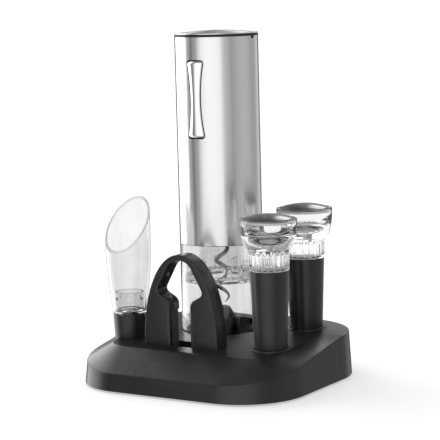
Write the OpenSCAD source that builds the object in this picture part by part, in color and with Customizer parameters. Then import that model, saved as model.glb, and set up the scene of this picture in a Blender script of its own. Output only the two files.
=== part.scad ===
// Electric wine opener on a storage stand, with a foil cutter, a pourer and two bottle stoppers.
// Millimetres, +Z up, the stand's footprint centred on the origin, the feet resting on z = 0.

/* [Stand] */
// Width of the stand at its foot
stand_w = 148; // [146:1:190]
// Depth of the stand at its foot
stand_d = 130; // [128:1:170]
// Height of the flat top at the middle of the stand
stand_h = 26.2; // [25:0.2:36]
// Angle at which the flat top rises towards the back
top_tilt = 3.6; // [0:0.2:5]
// How far the flat top is set in along the sides
side_inset = 16; // [10:0.5:18]
// How far the flat top is set in along the front
front_inset = 25; // [18:0.5:28]
// How far the flat top is set in along the back
back_inset = 5; // [3:0.5:8]
// Height of the upright wall along the front
front_wall_h = 11.7; // [8:0.1:14]
// Angle at which the top of that wall climbs along the sides
side_climb = 10; // [8:0.5:12]
// Radius of the stand's four corners, seen from above
corner_r = 39; // [30:1:42]
// How much the walls lean in
draft = 1.5; // [0.5:0.1:2]
// Wall of the moulded shell
shell_wall = 2.4; // [2:0.1:3]
// Thickness of the cover under the stand
cover_t = 2; // [1.6:0.1:3]
// How far the feet lift the shell off the table
foot_h = 1.2; // [0.8:0.1:2]
// Radius of a rubber foot
foot_r = 7; // [5:0.5:8]
// Height of the floor of the round sockets for the pourer and the stoppers
socket_z = 14; // [8:0.5:15]
// Height of the floor that the opener stands on
opener_floor_z = 22.5; // [18:0.5:23]
// Height of the floor that the foil cutter stands on
cutter_floor_z = 21; // [16:0.5:22]
// Radius of the post in the middle of the opener's socket
post_r = 10.4; // [8:0.2:11]
// Height of that post above the floor of its socket
post_h = 12.4; // [8:0.2:14]

/* [Opener body] */
// Outside diameter of the steel tube
tube_d = 52; // [51:0.5:63]
// Wall of the steel tube
tube_wall = 0.6; // [0.5:0.1:1]
// Length of the steel tube
tube_len = 128.2; // [127:0.2:160]
// Length of clear sleeve that shows below the steel tube
sleeve_len = 59.6; // [58:0.2:72]
// Wall of the clear sleeve
sleeve_wall = 2.2; // [1.6:0.1:3]
// Height of the domed cap above its rim
dome_h = 1.9; // [1:0.1:5]
// Inside radius of the cork chamber
chamber_r = 12.6; // [12:0.1:14]
// Height of the bottle seat above the sleeve's mouth
seat_h = 35.5; // [30:0.5:40]

/* [Rocker button] */
// Height of the rocker button
rocker_len = 47; // [42:0.5:49]
// Width of the rocker at its ends
rocker_end_w = 11; // [9:0.5:12]
// Width of the rocker at its waist
rocker_waist_w = 6.8; // [5.5:0.1:8]
// How far the rocker stands out of the steel
rocker_proud = 1.6; // [1.4:0.1:2]

/* [Corkscrew] */
// Outside diameter of the spiral
worm_d = 10; // [8:0.2:11]
// Diameter of the spiral's wire
worm_wire = 2.6; // [2:0.1:3]
// Rise of the spiral in one turn
worm_pitch = 15; // [10:0.2:16]
// Length of the spiral below its hub
worm_len = 52; // [42:1:53]

/* [Gear train] */
// Tooth module of the planetary gears
gear_module = 0.8; // [0.7:0.05:0.85]
// Teeth on the motor pinion
sun_teeth = 12;
// Teeth on each planet gear
planet_teeth = 18;
// Width of the gear faces
face_w = 6; // [4:0.5:7]

/* [Motor and batteries] */
// Radius of the motor can
motor_r = 15; // [12:0.5:16]
// Length of the motor can
motor_len = 32; // [24:1:32.5]
// Diameter of an AA cell
cell_d = 14.2; // [14:0.1:14.5]
// Length of an AA cell with its nub
cell_len = 50.4; // [50:0.1:50.5]

/* [Foil cutter] */
// Width across the legs
cutter_w = 52.2; // [48:0.2:63]
// Height from the feet of the legs to the crown
cutter_h = 59.6; // [57:0.2:70]
// Thickness of the moulding
cutter_t = 11.8; // [9:0.2:13]
// Gap between the two legs
leg_gap = 14.8; // [12:0.2:16]
// Height of the eye's widest point above the feet
eye_z = 37.2; // [34:0.2:38]
// Half width of the eye at that height
eye_half_w = 15.9; // [14:0.1:16.5]
// Thickness of the moulding over the eye
crown_t = 3.5; // [3:0.1:5]
// Radius of a cutting wheel
wheel_r = 2.4; // [2.2:0.1:2.5]
// Thickness of a cutting wheel
wheel_t = 0.8; // [0.6:0.1:1]

/* [Pourer] */
// Radius of the spout at its widest
spout_r = 14.2; // [13:0.1:15]
// Wall of the spout
spout_wall = 1.3; // [1:0.1:1.6]
// Height of the spout's tip above the foot of the plug
spout_top = 97.8; // [90:0.2:110]
// Height of the spout's low lip above the foot of the plug
spout_lip = 65; // [58:0.5:70]
// Radius of the pourer's rubber plug at its collar
pourer_plug_r = 10.6; // [10:0.1:11]
// Radius of the plug at its foot
pourer_foot_r = 9.2; // [8.6:0.1:9.6]
// Height of the plug
pourer_plug_h = 25.6; // [22:0.2:32]

/* [Stoppers] */
// Radius of the clear knob
knob_r = 17.2; // [15:0.1:21]
// Radius of the fluted neck
neck_r = 12.2; // [11.8:0.1:13]
// Radius of the rubber plug at its shoulder
plug_top_r = 11.8; // [11:0.1:12.2]
// Radius of the rubber plug at its foot
plug_foot_r = 9.6; // [9:0.1:10.2]
// Height of the plug
plug_h = 58.7; // [50:0.1:66]
// Height of the fluted neck
neck_h = 12; // [10:0.2:16]
// Height of the knob from the neck to its rim
knob_h = 19; // [14:0.2:22]

/* [Fits] */
// Radial room round each piece that lifts out of the stand
lift_gap = 0.4; // [0.3:0.05:0.8]
// Radial running clearance of a pin or shaft in its hole
run_gap = 0.05; // [0.02:0.01:0.1]
// Clearance between moulded pieces that fit together
fit_gap = 0.2; // [0.1:0.05:0.3]
// Room round the rocker in its window
rocker_gap = 0.6; // [0.5:0.05:0.8]

/* [Hidden] */
$fn = 96;

// Overshoot that keeps a cut clear of the face it leaves
over = 1;

// Where things stand on the flat top
tube_r = tube_d / 2;
top_half_w = stand_w / 2 - side_inset;
top_front_y = -stand_d / 2 + front_inset;
top_slope = tan(top_tilt);
front_stopper_xy = [top_half_w - 12, top_front_y + 25.6];
rear_stopper_xy = [top_half_w - 17, stand_d / 2 - 26.6];
opener_xy = rear_stopper_xy - [tube_r + 26.5, 13.4];
pourer_xy = [-top_half_w + 2.7, top_front_y + 25.3];
cutter_xy = [opener_xy[0] + 2.3, top_front_y + 11.2 + cutter_t / 2];
SCREW_XY = [for (sx = [-1, 1], sy = [-1, 1]) [sx * (stand_w / 2 - 20), sy * (stand_d / 2 - 18.5)]];
FOOT_XY = [for (sx = [-1, 1], sy = [-1, 1]) [sx * (stand_w / 2 - 24), sy * (stand_d / 2 - 31)]];
screw_r = 1.5;
screw_head_r = 2.8;
screw_boss_r = 3.6;
foot_sink = 0.8;
rim_h = 0.9;
rim_w = 1.1;
stopper_slack = 0.5;
pourer_slack = 0.7;
post_step = 3;
post_point_r = 4.2;
post_cone_h = 5;
// The leaning inside of the wall comes in this far by the top of the cover
cover_lean = draft * (foot_h + cover_t + over) / (front_wall_h - shell_wall + over);

// Heights in the opener, measured up from the sleeve's mouth
spigot_len = 8;
tube_z = sleeve_len;
tube_top = tube_z + tube_len;
tube_in_r = tube_r - tube_wall;
frame_r = tube_in_r - fit_gap;
flange_t = 0.8;
rim_top = tube_top + flange_t;
cap_flange_t = 0.4;
cap_depth = 3.2;
// Tab that keys the cell holder to the tube
tab_w = 1.2;
cell_top = rim_top - cap_depth - 0.8;
cell_z = cell_top - cell_len;
box_floor_t = 1.6;
spring_h = 1;
box_z = cell_z - spring_h - box_floor_t;
cell_pitch = cell_d / 2 + 0.55;
motor_z = box_z - 1.8 - motor_len;
motor_plate_t = 2.2;
frame_z = motor_z - motor_plate_t;
gear_z = frame_z - 1 - face_w;
carrier_t = 3.4;
carrier_z = gear_z - 0.6 - carrier_t;
case_floor_t = 2.4;
case_z = carrier_z - 0.6 - case_floor_t;
hub_len = 8;
hub_z = case_z - 0.6 - hub_len;
output_r = 4;
bush_r = 6.2;
worm_start = 128;

// Gears: a fixed ring, three planets and the motor's pinion
pressure_angle = 25;
addendum = 0.82 * gear_module;
dedendum = 1.15 * gear_module;
backlash = 0.14;
ring_teeth = sun_teeth + 2 * planet_teeth;
orbit_r = gear_module * (sun_teeth + planet_teeth) / 2;
ring_out_r = gear_module * ring_teeth / 2 + dedendum + 2.6;
planet_pin_r = 1.5;

// Rocker and its switches, in the opener's frame, on the side that faces -Y
rocker_z = tube_top - 38;
rocker_pin_r = 1;
rocker_pin_y = -(tube_r - 4.5);
rocker_back_r = tube_r - 1.9;
pocket_y = -(tube_r - 7.5);
pocket_w = 14;
switch_off = 15.5;
board_t = 1;
switch_h = 2.3;
peg_travel = 1.15;

// Foil cutter, from the feet of its legs up
arch_spring_z = 7;
shoulder_r = 5.5;
shoulder_z = eye_z - 9.7;
corner_in_r = 3;
lean = 29;
axle_r = 0.6;
neck_z = eye_z + 2.8;
neck_contact_r = 12.3;
WHEEL_AT = [for (a = [lean, 180 - lean, 220, 320]) [0, neck_z] + (neck_contact_r + wheel_r) * [cos(a), sin(a)]];

stopper_core_r = 7;
pourer_core_r = 7;

function arc(c, r, from, to, steps = 8) = [for (i = [0 : steps]) let (t = from + (to - from) * i / steps)
    c + r * [cos(t), sin(t)]];
function mirrored(p) = [for (i = [len(p) - 1 : -1 : 0]) [-p[i][0], p[i][1]]];

module tube(r_out, r_in, h) {
    difference() {
        cylinder(r = r_out, h = h);
        translate([0, 0, -over]) cylinder(r = r_in, h = h + 2 * over);
    }
}

module on_stand(xy, z) {
    translate([xy[0], xy[1], z]) children();
}

// ---- Stand ----

// The stand's outline at its foot, moved in by d all round
function stand_outline(d) = let (a = stand_w / 2 - corner_r, b = stand_d / 2 - corner_r, r = corner_r - d)
    concat(arc([a, b], r, 0, 90, 12), arc([-a, b], r, 90, 180, 12), arc([-a, -b], r, 180, 270, 12),
        arc([a, -b], r, 270, 360, 12));
function flat_top(d) = let (r = 14, x = top_half_w - d / 2 - r, y = top_front_y + d / 2 + r,
    back = stand_d / 2 - back_inset - d / 2, rb = corner_r - back_inset, xb = top_half_w - d / 2 - rb)
    concat(arc([x, y], r, 270, 360, 6), arc([xb, back - rb], rb, 0, 90, 10),
        arc([-xb, back - rb], rb, 90, 180, 10), arc([-x, y], r, 180, 270, 6));

// The wall's top edge climbs in a plane of its own until that plane meets the flat top
climb = tan(side_climb);
climb_z0 = front_wall_h + climb * stand_d / 2;
meet_y = (climb_z0 - stand_h) / (top_slope - climb);

// A thin slab with this outline, in the plane z = z0 + slope * y
module sloped_slab(z0, slope, outline) {
    multmatrix([[1, 0, 0, 0], [0, 1, 0, 0], [0, slope, 1, z0], [0, 0, 0, 1]])
        linear_extrude(0.01) polygon(outline);
}

// The stand's outer form, or the hollow inside it when skin is the wall
module stand_form(skin) {
    rim = stand_outline(draft + skin);
    hull() {
        translate([0, 0, skin > 0 ? -over : foot_h]) linear_extrude(0.01) polygon(stand_outline(skin));
        sloped_slab(climb_z0 - skin, climb, [for (p = rim) [p[0], min(p[1], meet_y)]]);
        sloped_slab(stand_h - skin - 1.5, top_slope, [for (p = rim) [p[0], max(p[1], meet_y)]]);
        sloped_slab(stand_h - skin, top_slope, flat_top(skin));
    }
}

// Each round socket: its place, its radius and the height of its floor
SOCKETS = [[front_stopper_xy, plug_foot_r + stopper_slack + lift_gap, socket_z],
    [rear_stopper_xy, plug_foot_r + stopper_slack + lift_gap, socket_z],
    [pourer_xy, pourer_foot_r + pourer_slack + lift_gap, socket_z],
    [opener_xy, tube_r + lift_gap, opener_floor_z]];

module stand_shell() color([0.05, 0.05, 0.05]) {
    pocket = [cutter_w + 2 * lift_gap, cutter_t + 2 * lift_gap];
    difference() {
        union() {
            difference() {
                stand_form(0);
                stand_form(shell_wall);
            }
            intersection() {
                stand_form(0);
                union() {
                    for (s = SOCKETS)
                        on_stand(s[0], s[2] - shell_wall) cylinder(r = s[1] + shell_wall, h = stand_h);
                    on_stand(cutter_xy, cutter_floor_z - shell_wall)
                        translate([-pocket[0] / 2 - shell_wall, -pocket[1] / 2 - shell_wall, 0])
                            cube([pocket[0] + 2 * shell_wall, pocket[1] + 2 * shell_wall, stand_h]);
                    for (p = SCREW_XY)
                        on_stand(p, foot_h + cover_t) cylinder(r = screw_boss_r, h = stand_h);
                }
            }
            // Raised rims round the stoppers' sockets follow the slope of the top
            intersection() {
                translate([0, 0, rim_h]) stand_form(0);
                for (i = [0, 1])
                    on_stand(SOCKETS[i][0], socket_z) cylinder(r = SOCKETS[i][1] + rim_w, h = stand_h);
            }
        }
        for (s = SOCKETS)
            on_stand(s[0], s[2]) cylinder(r = s[1], h = stand_h);
        on_stand(cutter_xy, cutter_floor_z)
            translate([-pocket[0] / 2, -pocket[1] / 2, 0]) cube([pocket[0], pocket[1], stand_h]);
        for (p = SCREW_XY)
            on_stand(p, foot_h) cylinder(r = screw_r, h = 10);
    }
    // Stepped post that centres the sleeve and guards the spiral's point
    on_stand(opener_xy, opener_floor_z - 0.1) {
        cylinder(r = post_r, h = post_h + 0.1);
        cylinder(r = post_r - post_step, h = post_h + 0.6);
        translate([0, 0, post_h + 0.5]) cylinder(r1 = post_r - post_step, r2 = post_point_r, h = post_cone_h);
    }
}

module stand_cover() color([0.07, 0.07, 0.07])
    difference() {
        translate([0, 0, foot_h]) linear_extrude(cover_t)
            polygon(stand_outline(shell_wall + fit_gap + cover_lean));
        for (p = FOOT_XY)
            on_stand(p, 0) cylinder(r = foot_r, h = foot_h + foot_sink);
        for (p = SCREW_XY)
            on_stand(p, 0) {
                cylinder(r = screw_r + 0.2, h = 10);
                cylinder(r = screw_head_r + 0.2, h = foot_h + 1);
            }
    }

module rubber_feet() color([0.12, 0.12, 0.12])
    for (p = FOOT_XY)
        on_stand(p, 0) cylinder(r = foot_r, h = foot_h + foot_sink);

module cover_screws() color("silver")
    for (p = SCREW_XY)
        on_stand(p, foot_h) {
            difference() {
                translate([0, 0, 0.2]) cylinder(r = screw_head_r, h = 0.8);
                translate([-0.4, -screw_head_r, -over]) cube([0.8, 2 * screw_head_r, 0.5 + over]);
            }
            translate([0, 0, 0.9]) cylinder(r = screw_r, h = 8);
        }

// ---- Opener ----

module in_opener(z = 0) on_stand(opener_xy, opener_floor_z + z) children();

// Outline of the rocker, grown all round by a clearance: its sides follow a parabola
module rocker_outline(grow) {
    half_l = rocker_len / 2 + grow;
    end_w = rocker_end_w / 2 + grow;
    waist_w = rocker_waist_w / 2 + grow;
    corner = 1.6 + grow;
    side = [for (i = [-10 : 10]) let (t = i / 10) [waist_w + (end_w - waist_w) * t * t, t * (half_l - corner)]];
    right = concat(arc([end_w - corner, -half_l + corner], corner, -90, 0, 5), side,
        arc([end_w - corner, half_l - corner], corner, 0, 90, 5));
    polygon(concat(right, mirrored(right)));
}

module rocker_prism(grow, depth) {
    translate([0, 0, rocker_z]) rotate([90, 0, 0]) linear_extrude(depth) rocker_outline(grow);
}

module body_tube() color("silver")
    in_opener()
        difference() {
            translate([0, 0, tube_z]) tube(tube_r, tube_in_r, tube_len);
            rocker_prism(rocker_gap, tube_r + over);
            translate([tube_in_r - over, -tab_w / 2 - fit_gap, tube_top - 1.6 - fit_gap])
                cube([5, tab_w + 2 * fit_gap, 5]);
        }

module clear_sleeve() color([0.9, 0.93, 0.95, 0.3])
    in_opener()
        difference() {
            union() {
                cylinder(r = tube_r, h = sleeve_len);
                cylinder(r = tube_in_r, h = sleeve_len + spigot_len);
            }
            translate([0, 0, -over]) cylinder(r = tube_r - sleeve_wall, h = sleeve_len + spigot_len + 2 * over);
        }

// Clear insert: the bottle's lip seats under its flange, and the cork rises inside its tube
module cork_guide() color([0.85, 0.9, 0.92, 0.3])
    in_opener() {
        guide_r = tube_r - sleeve_wall;
        difference() {
            union() {
                translate([0, 0, seat_h]) cylinder(r = guide_r, h = 2.4);
                translate([0, 0, seat_h]) cylinder(r = chamber_r + 1.6, h = case_z - seat_h);
                for (a = [0 : 45 : 315])
                    rotate(a) translate([chamber_r + 0.8, -0.6, seat_h + 2]) cube([guide_r - chamber_r - 1.6, 1.2, 7]);
                translate([0, 0, case_z - 2]) cylinder(r = frame_r, h = 2);
            }
            translate([0, 0, seat_h - over]) cylinder(r = chamber_r, h = case_z - seat_h + 2 * over);
            for (a = [22.5 : 45 : 337.5])
                rotate(a) translate([chamber_r + 6, 0, seat_h - over]) cylinder(r = 2.4, h = 5);
        }
    }

module gear_case() color([0.2, 0.2, 0.2])
    in_opener(case_z)
        difference() {
            cylinder(r = frame_r, h = frame_z - case_z);
            translate([0, 0, case_floor_t]) cylinder(r = ring_out_r, h = 50);
            translate([0, 0, -over]) cylinder(r = bush_r, h = 10);
        }

module output_bush() color([0.72, 0.53, 0.25])
    in_opener(case_z) tube(bush_r, output_r + run_gap, case_floor_t);

// Half thickness angle of a tooth at radius r, for a tooth count n, from the involute of its base circle
function roll(r, n) = let (base = gear_module * n / 2 * cos(pressure_angle), q = max(r, base) / base)
    sqrt(q * q - 1) * 180 / PI - acos(1 / q);
function half_tooth(r, n, thin) = let (pitch_r = gear_module * n / 2)
    90 / n - thin / pitch_r * 90 / PI + roll(pitch_r, n) - roll(r, n);

// Outline of an external gear, or of an internal one's space when grow is positive
function gear_outline(n, tip, root, thin) = [for (k = [0 : n - 1], side = [-1, 1], i = [0 : 5])
    let (f = side < 0 ? i / 5 : 1 - i / 5, r = root + (tip - root) * f, a = 360 * k / n + side * half_tooth(r, n, thin))
    r * [cos(a), sin(a)]];

module spur_gear(n, bore) {
    difference() {
        linear_extrude(face_w)
            polygon(gear_outline(n, gear_module * n / 2 + addendum, gear_module * n / 2 - dedendum, backlash));
        translate([0, 0, -over]) cylinder(r = bore, h = face_w + 2 * over, $fn = 48);
    }
}

module ring_gear() color([0.85, 0.85, 0.82])
    in_opener(gear_z) rotate(180 / ring_teeth)
        difference() {
            cylinder(r = ring_out_r, h = face_w);
            translate([0, 0, -over]) linear_extrude(face_w + 2 * over)
                polygon(gear_outline(ring_teeth, gear_module * ring_teeth / 2 + dedendum,
                    gear_module * ring_teeth / 2 - addendum, -backlash));
        }

module planet_gear(k) color([0.9, 0.9, 0.86])
    in_opener(gear_z) rotate(120 * k) translate([orbit_r, 0, 0]) rotate(180 / planet_teeth)
        spur_gear(planet_teeth, planet_pin_r + run_gap);

module planet_pins() color("silver")
    in_opener(carrier_z)
        for (k = [0 : 2])
            rotate(120 * k) translate([orbit_r, 0, 0]) cylinder(r = planet_pin_r, h = gear_z + face_w - carrier_z);

module planet_carrier() color([0.6, 0.6, 0.62])
    in_opener(carrier_z)
        difference() {
            union() {
                cylinder(r = orbit_r + planet_pin_r + 3, h = carrier_t);
                translate([0, 0, hub_z + hub_len - carrier_z]) cylinder(r = output_r, h = carrier_z - hub_z - hub_len + 1);
            }
            for (k = [0 : 2])
                rotate(120 * k) translate([orbit_r, 0, -over]) cylinder(r = planet_pin_r, h = carrier_t + 2 * over);
        }

module motor_shaft() color("silver")
    in_opener(gear_z - 0.2) cylinder(r = 1.15, h = motor_z + motor_len * 0.3 - gear_z, $fn = 48);

module motor_pinion() color([0.72, 0.53, 0.25])
    in_opener(gear_z) spur_gear(sun_teeth, 1.15);

module motor_can() color([0.7, 0.7, 0.72])
    in_opener(motor_z)
        difference() {
            union() {
                cylinder(r = motor_r, h = motor_len);
                for (s = [-1, 1])
                    translate([s * motor_r * 0.5, 0, motor_len]) translate([-0.4, -1.5, 0]) cube([0.8, 3, 1.4]);
            }
            translate([0, 0, -over]) cylinder(r = 1.15 + run_gap, h = motor_len * 0.3 + over, $fn = 48);
            for (a = [30, 150, 270])
                rotate(a) translate([motor_r * 0.6, 0, -over]) cylinder(r = 1.2, h = 4 + over, $fn = 32);
        }

// Moulded frame that holds the motor: a floor the motor is screwed to, and a collar round the can
module motor_frame() color([0.16, 0.16, 0.16])
    in_opener(frame_z)
        difference() {
            cylinder(r = frame_r, h = box_z - frame_z);
            translate([0, 0, motor_plate_t]) cylinder(r = motor_r, h = 60);
            translate([0, 0, -over]) cylinder(r = 3.4, h = 10);
            for (a = [30, 150, 270])
                rotate(a) translate([motor_r * 0.6, 0, -over]) cylinder(r = 1.2, h = 10, $fn = 32);
            translate([-pocket_w / 2, -tube_r, rocker_z - rocker_len / 2 - 2 - frame_z])
                cube([pocket_w, tube_r + pocket_y, 60]);
        }

module frame_screws() color("silver")
    in_opener(frame_z)
        for (a = [30, 150, 270])
            rotate(a) translate([motor_r * 0.6, 0, -0.9]) {
                cylinder(r = 2.1, h = 0.9, $fn = 32);
                cylinder(r = 1.2, h = motor_plate_t + 4.4, $fn = 32);
            }

module battery_box() color([0.1, 0.1, 0.1])
    in_opener() {
        lug_sweep = 50;
        difference() {
            union() {
                translate([0, 0, box_z]) cylinder(r = frame_r, h = rim_top - box_z);
                translate([0, 0, tube_top]) cylinder(r = tube_r + 0.15, h = flange_t);
                translate([tube_r - 2, -tab_w / 2, tube_top - 1.6]) cube([2.6, tab_w, 2]);
            }
            for (sx = [-1, 1], sy = [-1, 1])
                translate([sx * cell_pitch, sy * cell_pitch, box_z + box_floor_t])
                    cylinder(r = cell_d / 2 + 0.25, h = 80);
            translate([0, 0, cell_top]) cylinder(r = frame_r - 2.6, h = 20);
            translate([-pocket_w / 2, -tube_r, box_z - over]) cube([pocket_w, tube_r + pocket_y, rocker_z
                + rocker_len / 2 + 2 - box_z + over]);
            translate([-pocket_w / 2 - 3, rocker_pin_y, rocker_z]) rotate([0, 90, 0])
                cylinder(r = rocker_pin_r, h = pocket_w + 6, $fn = 48);
            // L-shaped slots that the cap's two lugs turn in
            for (a = [0, 180])
                rotate(a) {
                    translate([0, 0, cell_top + 0.6]) rotate([0, 0, -8]) rotate_extrude(angle = lug_sweep - 7)
                        translate([frame_r - 4, 0]) square([4 - 0.9, 2.2]);
                    translate([0, 0, cell_top + 0.6]) rotate([0, 0, lug_sweep - 8 - 15]) rotate_extrude(angle = 15)
                        translate([frame_r - 4, 0]) square([4 - 0.9, 20]);
                }
        }
    }

module batteries() color([0.75, 0.62, 0.25])
    in_opener(cell_z)
        for (sx = [-1, 1], sy = [-1, 1])
            translate([sx * cell_pitch, sy * cell_pitch, 0]) {
                cylinder(r = cell_d / 2, h = cell_len - 1.2);
                cylinder(r = 2.6, h = cell_len);
            }

// Flat spiral contact springs, shown squeezed under the cells
module battery_springs() color("silver")
    in_opener(cell_z - spring_h)
        for (sx = [-1, 1], sy = [-1, 1])
            translate([sx * cell_pitch, sy * cell_pitch, 0]) {
                tube(5, 4.2, spring_h * 0.5);
                translate([0, 0, spring_h * 0.5]) tube(4.6, 2.6, spring_h * 0.5);
            }

module cap_contact() color([0.75, 0.75, 0.7])
    in_opener(cell_top + 0.1) tube(frame_r - 5, 3, 0.6);

module cap_plug() color([0.08, 0.08, 0.08])
    in_opener(cell_top + 0.7) {
        plug_r = frame_r - 2.6 - fit_gap;
        flange_z = rim_top + fit_gap - cell_top - 0.7;
        cylinder(r = plug_r, h = flange_z + 0.1);
        translate([0, 0, flange_z]) cylinder(r = tube_r - 0.6, h = cap_flange_t);
        for (a = [0, 180])
            rotate(a - 5) translate([0, 0, 0.1]) rotate_extrude(angle = 10)
                translate([plug_r - 1, 0]) square([2.5, 1.6]);
    }

module cap_dome() color("silver")
    in_opener(rim_top + fit_gap + cap_flange_t) {
        edge_r = tube_r - 0.1;
        edge_t = 0.4;
        ball_r = (edge_r * edge_r + dome_h * dome_h) / (2 * dome_h);
        intersection() {
            cylinder(r = edge_r, h = dome_h + edge_t);
            translate([0, 0, dome_h + edge_t - ball_r]) sphere(r = ball_r, $fn = 200);
        }
    }

module rocker_button() color([0.85, 0.86, 0.88])
    in_opener() {
        peg_end_y = pocket_y - board_t - switch_h - peg_travel;
        intersection() {
            rocker_prism(0, tube_r + 10);
            translate([0, 0, rocker_z - rocker_len / 2]) tube(tube_r + rocker_proud, rocker_back_r, rocker_len);
        }
        difference() {
            union() {
                translate([-2.9, -rocker_back_r - 0.5, rocker_z - 3])
                    cube([5.8, rocker_back_r + 0.5 + rocker_pin_y, 6]);
                translate([-2.9, rocker_pin_y, rocker_z]) rotate([0, 90, 0])
                    cylinder(r = rocker_pin_r + 0.8, h = 5.8, $fn = 48);
            }
            translate([-4, rocker_pin_y, rocker_z]) rotate([0, 90, 0])
                cylinder(r = rocker_pin_r + run_gap, h = 8, $fn = 48);
        }
        // Pegs that press the two switches
        for (side = [-1, 1])
            translate([0, peg_end_y, rocker_z + side * switch_off]) rotate([90, 0, 0])
                cylinder(r = 1.4, h = rocker_back_r + 0.5 + peg_end_y, $fn = 32);
    }

module rocker_pin() color("silver")
    in_opener(rocker_z) translate([-pocket_w / 2 - 3, rocker_pin_y, 0]) rotate([0, 90, 0])
        cylinder(r = rocker_pin_r, h = pocket_w + 6, $fn = 48);

module switch_board() color([0.1, 0.35, 0.2])
    in_opener(rocker_z) translate([-6, pocket_y - board_t, -19]) cube([12, board_t, 38]);

module tact_switches() color([0.3, 0.3, 0.32])
    in_opener(rocker_z)
        for (s = [-1, 1])
            translate([0, pocket_y - board_t, s * switch_off]) {
                translate([-3, 0.7 - switch_h, -3]) cube([6, switch_h - 0.7, 6]);
                rotate([90, 0, 0]) cylinder(r = 1.5, h = switch_h, $fn = 32);
            }

module worm_hub() color([0.15, 0.15, 0.15])
    in_opener(hub_z)
        difference() {
            union() {
                cylinder(r = worm_d / 2 + 1.2, h = hub_len);
                translate([0, 0, hub_len - 1.6]) cylinder(r = chamber_r - 1.2, h = 1.6);
            }
            translate([0, 0, -over]) cylinder(r = worm_wire / 2, h = hub_len, $fn = 48);
        }

// Point on the spiral's centre line, s millimetres down from its hub, and the wire's radius there:
// the wire leaves the hub on the axis, winds out to its full radius in half a turn, and ends in a point
worm_wind_r = (worm_d - worm_wire) / 2;
function worm_point(s) = let (a = worm_start - 360 * s / worm_pitch, out = min(1, max(0, s - 2) / (worm_pitch / 2)))
    [worm_wind_r * out * cos(a), worm_wind_r * out * sin(a), -s];
function worm_radius(s) = worm_wire / 2 * min(1, max(0.12, sqrt((worm_len - s) / 9)));

module corkscrew() color([0.55, 0.56, 0.58])
    in_opener(hub_z) {
        sides = 10;
        steps = 110;
        top = 5;
        S = [for (i = [0 : steps]) -top + (worm_len + top) * i / steps];
        rings = [for (s = S) let (p = s < 0 ? [0, 0, -s] : worm_point(s),
            q = s < 0 ? [0, 0, -s - 0.1] : worm_point(s + 0.1), d = (q - p) / norm(q - p),
            a0 = worm_start - 360 * s / worm_pitch,
            u0 = cross([cos(a0), sin(a0), 0], d), u = u0 / norm(u0), v = cross(d, u))
            [for (k = [0 : sides - 1]) let (a = 360 * k / sides) p + worm_radius(max(s, 0)) * (u * cos(a) + v * sin(a))]];
        points = [for (r = rings, p = r) p];
        faces = concat([[for (k = [sides - 1 : -1 : 0]) k]], [[for (k = [0 : sides - 1]) steps * sides + k]],
            [for (i = [0 : steps - 1], k = [0 : sides - 1], half = [0, 1]) let (a = i * sides + k, b = i * sides + (k + 1) % sides)
                half == 0 ? [a, b, b + sides] : [a, b + sides, a + sides]]);
        polyhedron(points, faces, convexity = 8);
    }

// ---- Foil cutter ----

module in_cutter() on_stand(cutter_xy, cutter_floor_z) children();

// The right half of the eye and slot, from the foot up: slot, shoulder, widest corner, leaning side, crown
function eye_outline() = let (
    gap = leg_gap / 2,
    normal = [cos(lean), sin(lean)],
    corner = [eye_half_w - corner_in_r, eye_z],
    side = (corner + corner_in_r * normal) * normal,
    eye_top = cutter_h - crown_t,
    crown_r = (side - eye_top * normal[1]) / (1 - normal[1]))
    concat([[gap, 0]], arc([gap + shoulder_r, shoulder_z], shoulder_r, 180, 120, 5),
        arc(corner, corner_in_r, -60, lean, 6), arc([0, eye_top - crown_r], crown_r, lean, 90, 8));
function cutter_outline() = let (half_w = cutter_w / 2, eye = eye_outline())
    concat([for (i = [0 : 40]) let (t = 180 * i / 40)
        [half_w * cos(t), arch_spring_z + (cutter_h - arch_spring_z) * sin(t)]],
        [[-half_w, 0]], [for (q = eye) [-q[0], q[1]]], [for (i = [len(eye) - 2 : -1 : 0]) eye[i]], [[half_w, 0]]);

module cutter_body() color([0.05, 0.05, 0.05])
    in_cutter()
        difference() {
            translate([0, cutter_t / 2, 0]) rotate([90, 0, 0]) linear_extrude(cutter_t) polygon(cutter_outline());
            for (w = WHEEL_AT) {
                translate([w[0], 0, w[1]]) rotate([90, 0, 0])
                    cylinder(r = wheel_r + 0.3, h = wheel_t + 0.5, center = true, $fn = 48);
                translate([w[0], cutter_t / 2 + over, w[1]]) rotate([90, 0, 0])
                    cylinder(r = axle_r, h = cutter_t - 2 + over, $fn = 32);
            }
            // Shallow relief on the faces of the legs that look at each other
            for (s = [-1, 1])
                translate([s * (leg_gap / 2 + 0.6) - 0.7, -cutter_t / 2 + 2.6, -over]) cube([1.4, cutter_t, shoulder_z - 3 + over]);
        }

module cutter_wheel(k) color("silver")
    in_cutter() translate([WHEEL_AT[k][0], 0, WHEEL_AT[k][1]]) rotate([90, 0, 0])
        difference() {
            union() {
                cylinder(r = wheel_r * 0.7, h = wheel_t, center = true, $fn = 48);
                cylinder(r1 = wheel_r * 0.7, r2 = wheel_r, h = wheel_t / 2 , $fn = 48);
                mirror([0, 0, 1]) cylinder(r1 = wheel_r, r2 = wheel_r * 0.7, h = wheel_t / 2, $fn = 48);
            }
            cylinder(r = axle_r + run_gap, h = 10, center = true, $fn = 32);
        }

module wheel_axles() color("silver")
    in_cutter()
        for (w = WHEEL_AT)
            translate([w[0], cutter_t / 2 - 0.3, w[1]]) rotate([90, 0, 0])
                cylinder(r = axle_r, h = cutter_t - 2.3, $fn = 32);

// ---- Pourer ----

module in_pourer(z = 0) on_stand(pourer_xy, socket_z + z) children();

// Radius of the spout's outside at a height above the plug's foot: it flares out over 45 mm
function spout_outer(z) = let (f = min(1, (z - pourer_plug_h) / 45)) pourer_plug_r - 0.2
    + (spout_r - pourer_plug_r + 0.2) * (1.5 * f - 0.5 * f * f * f);

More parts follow.
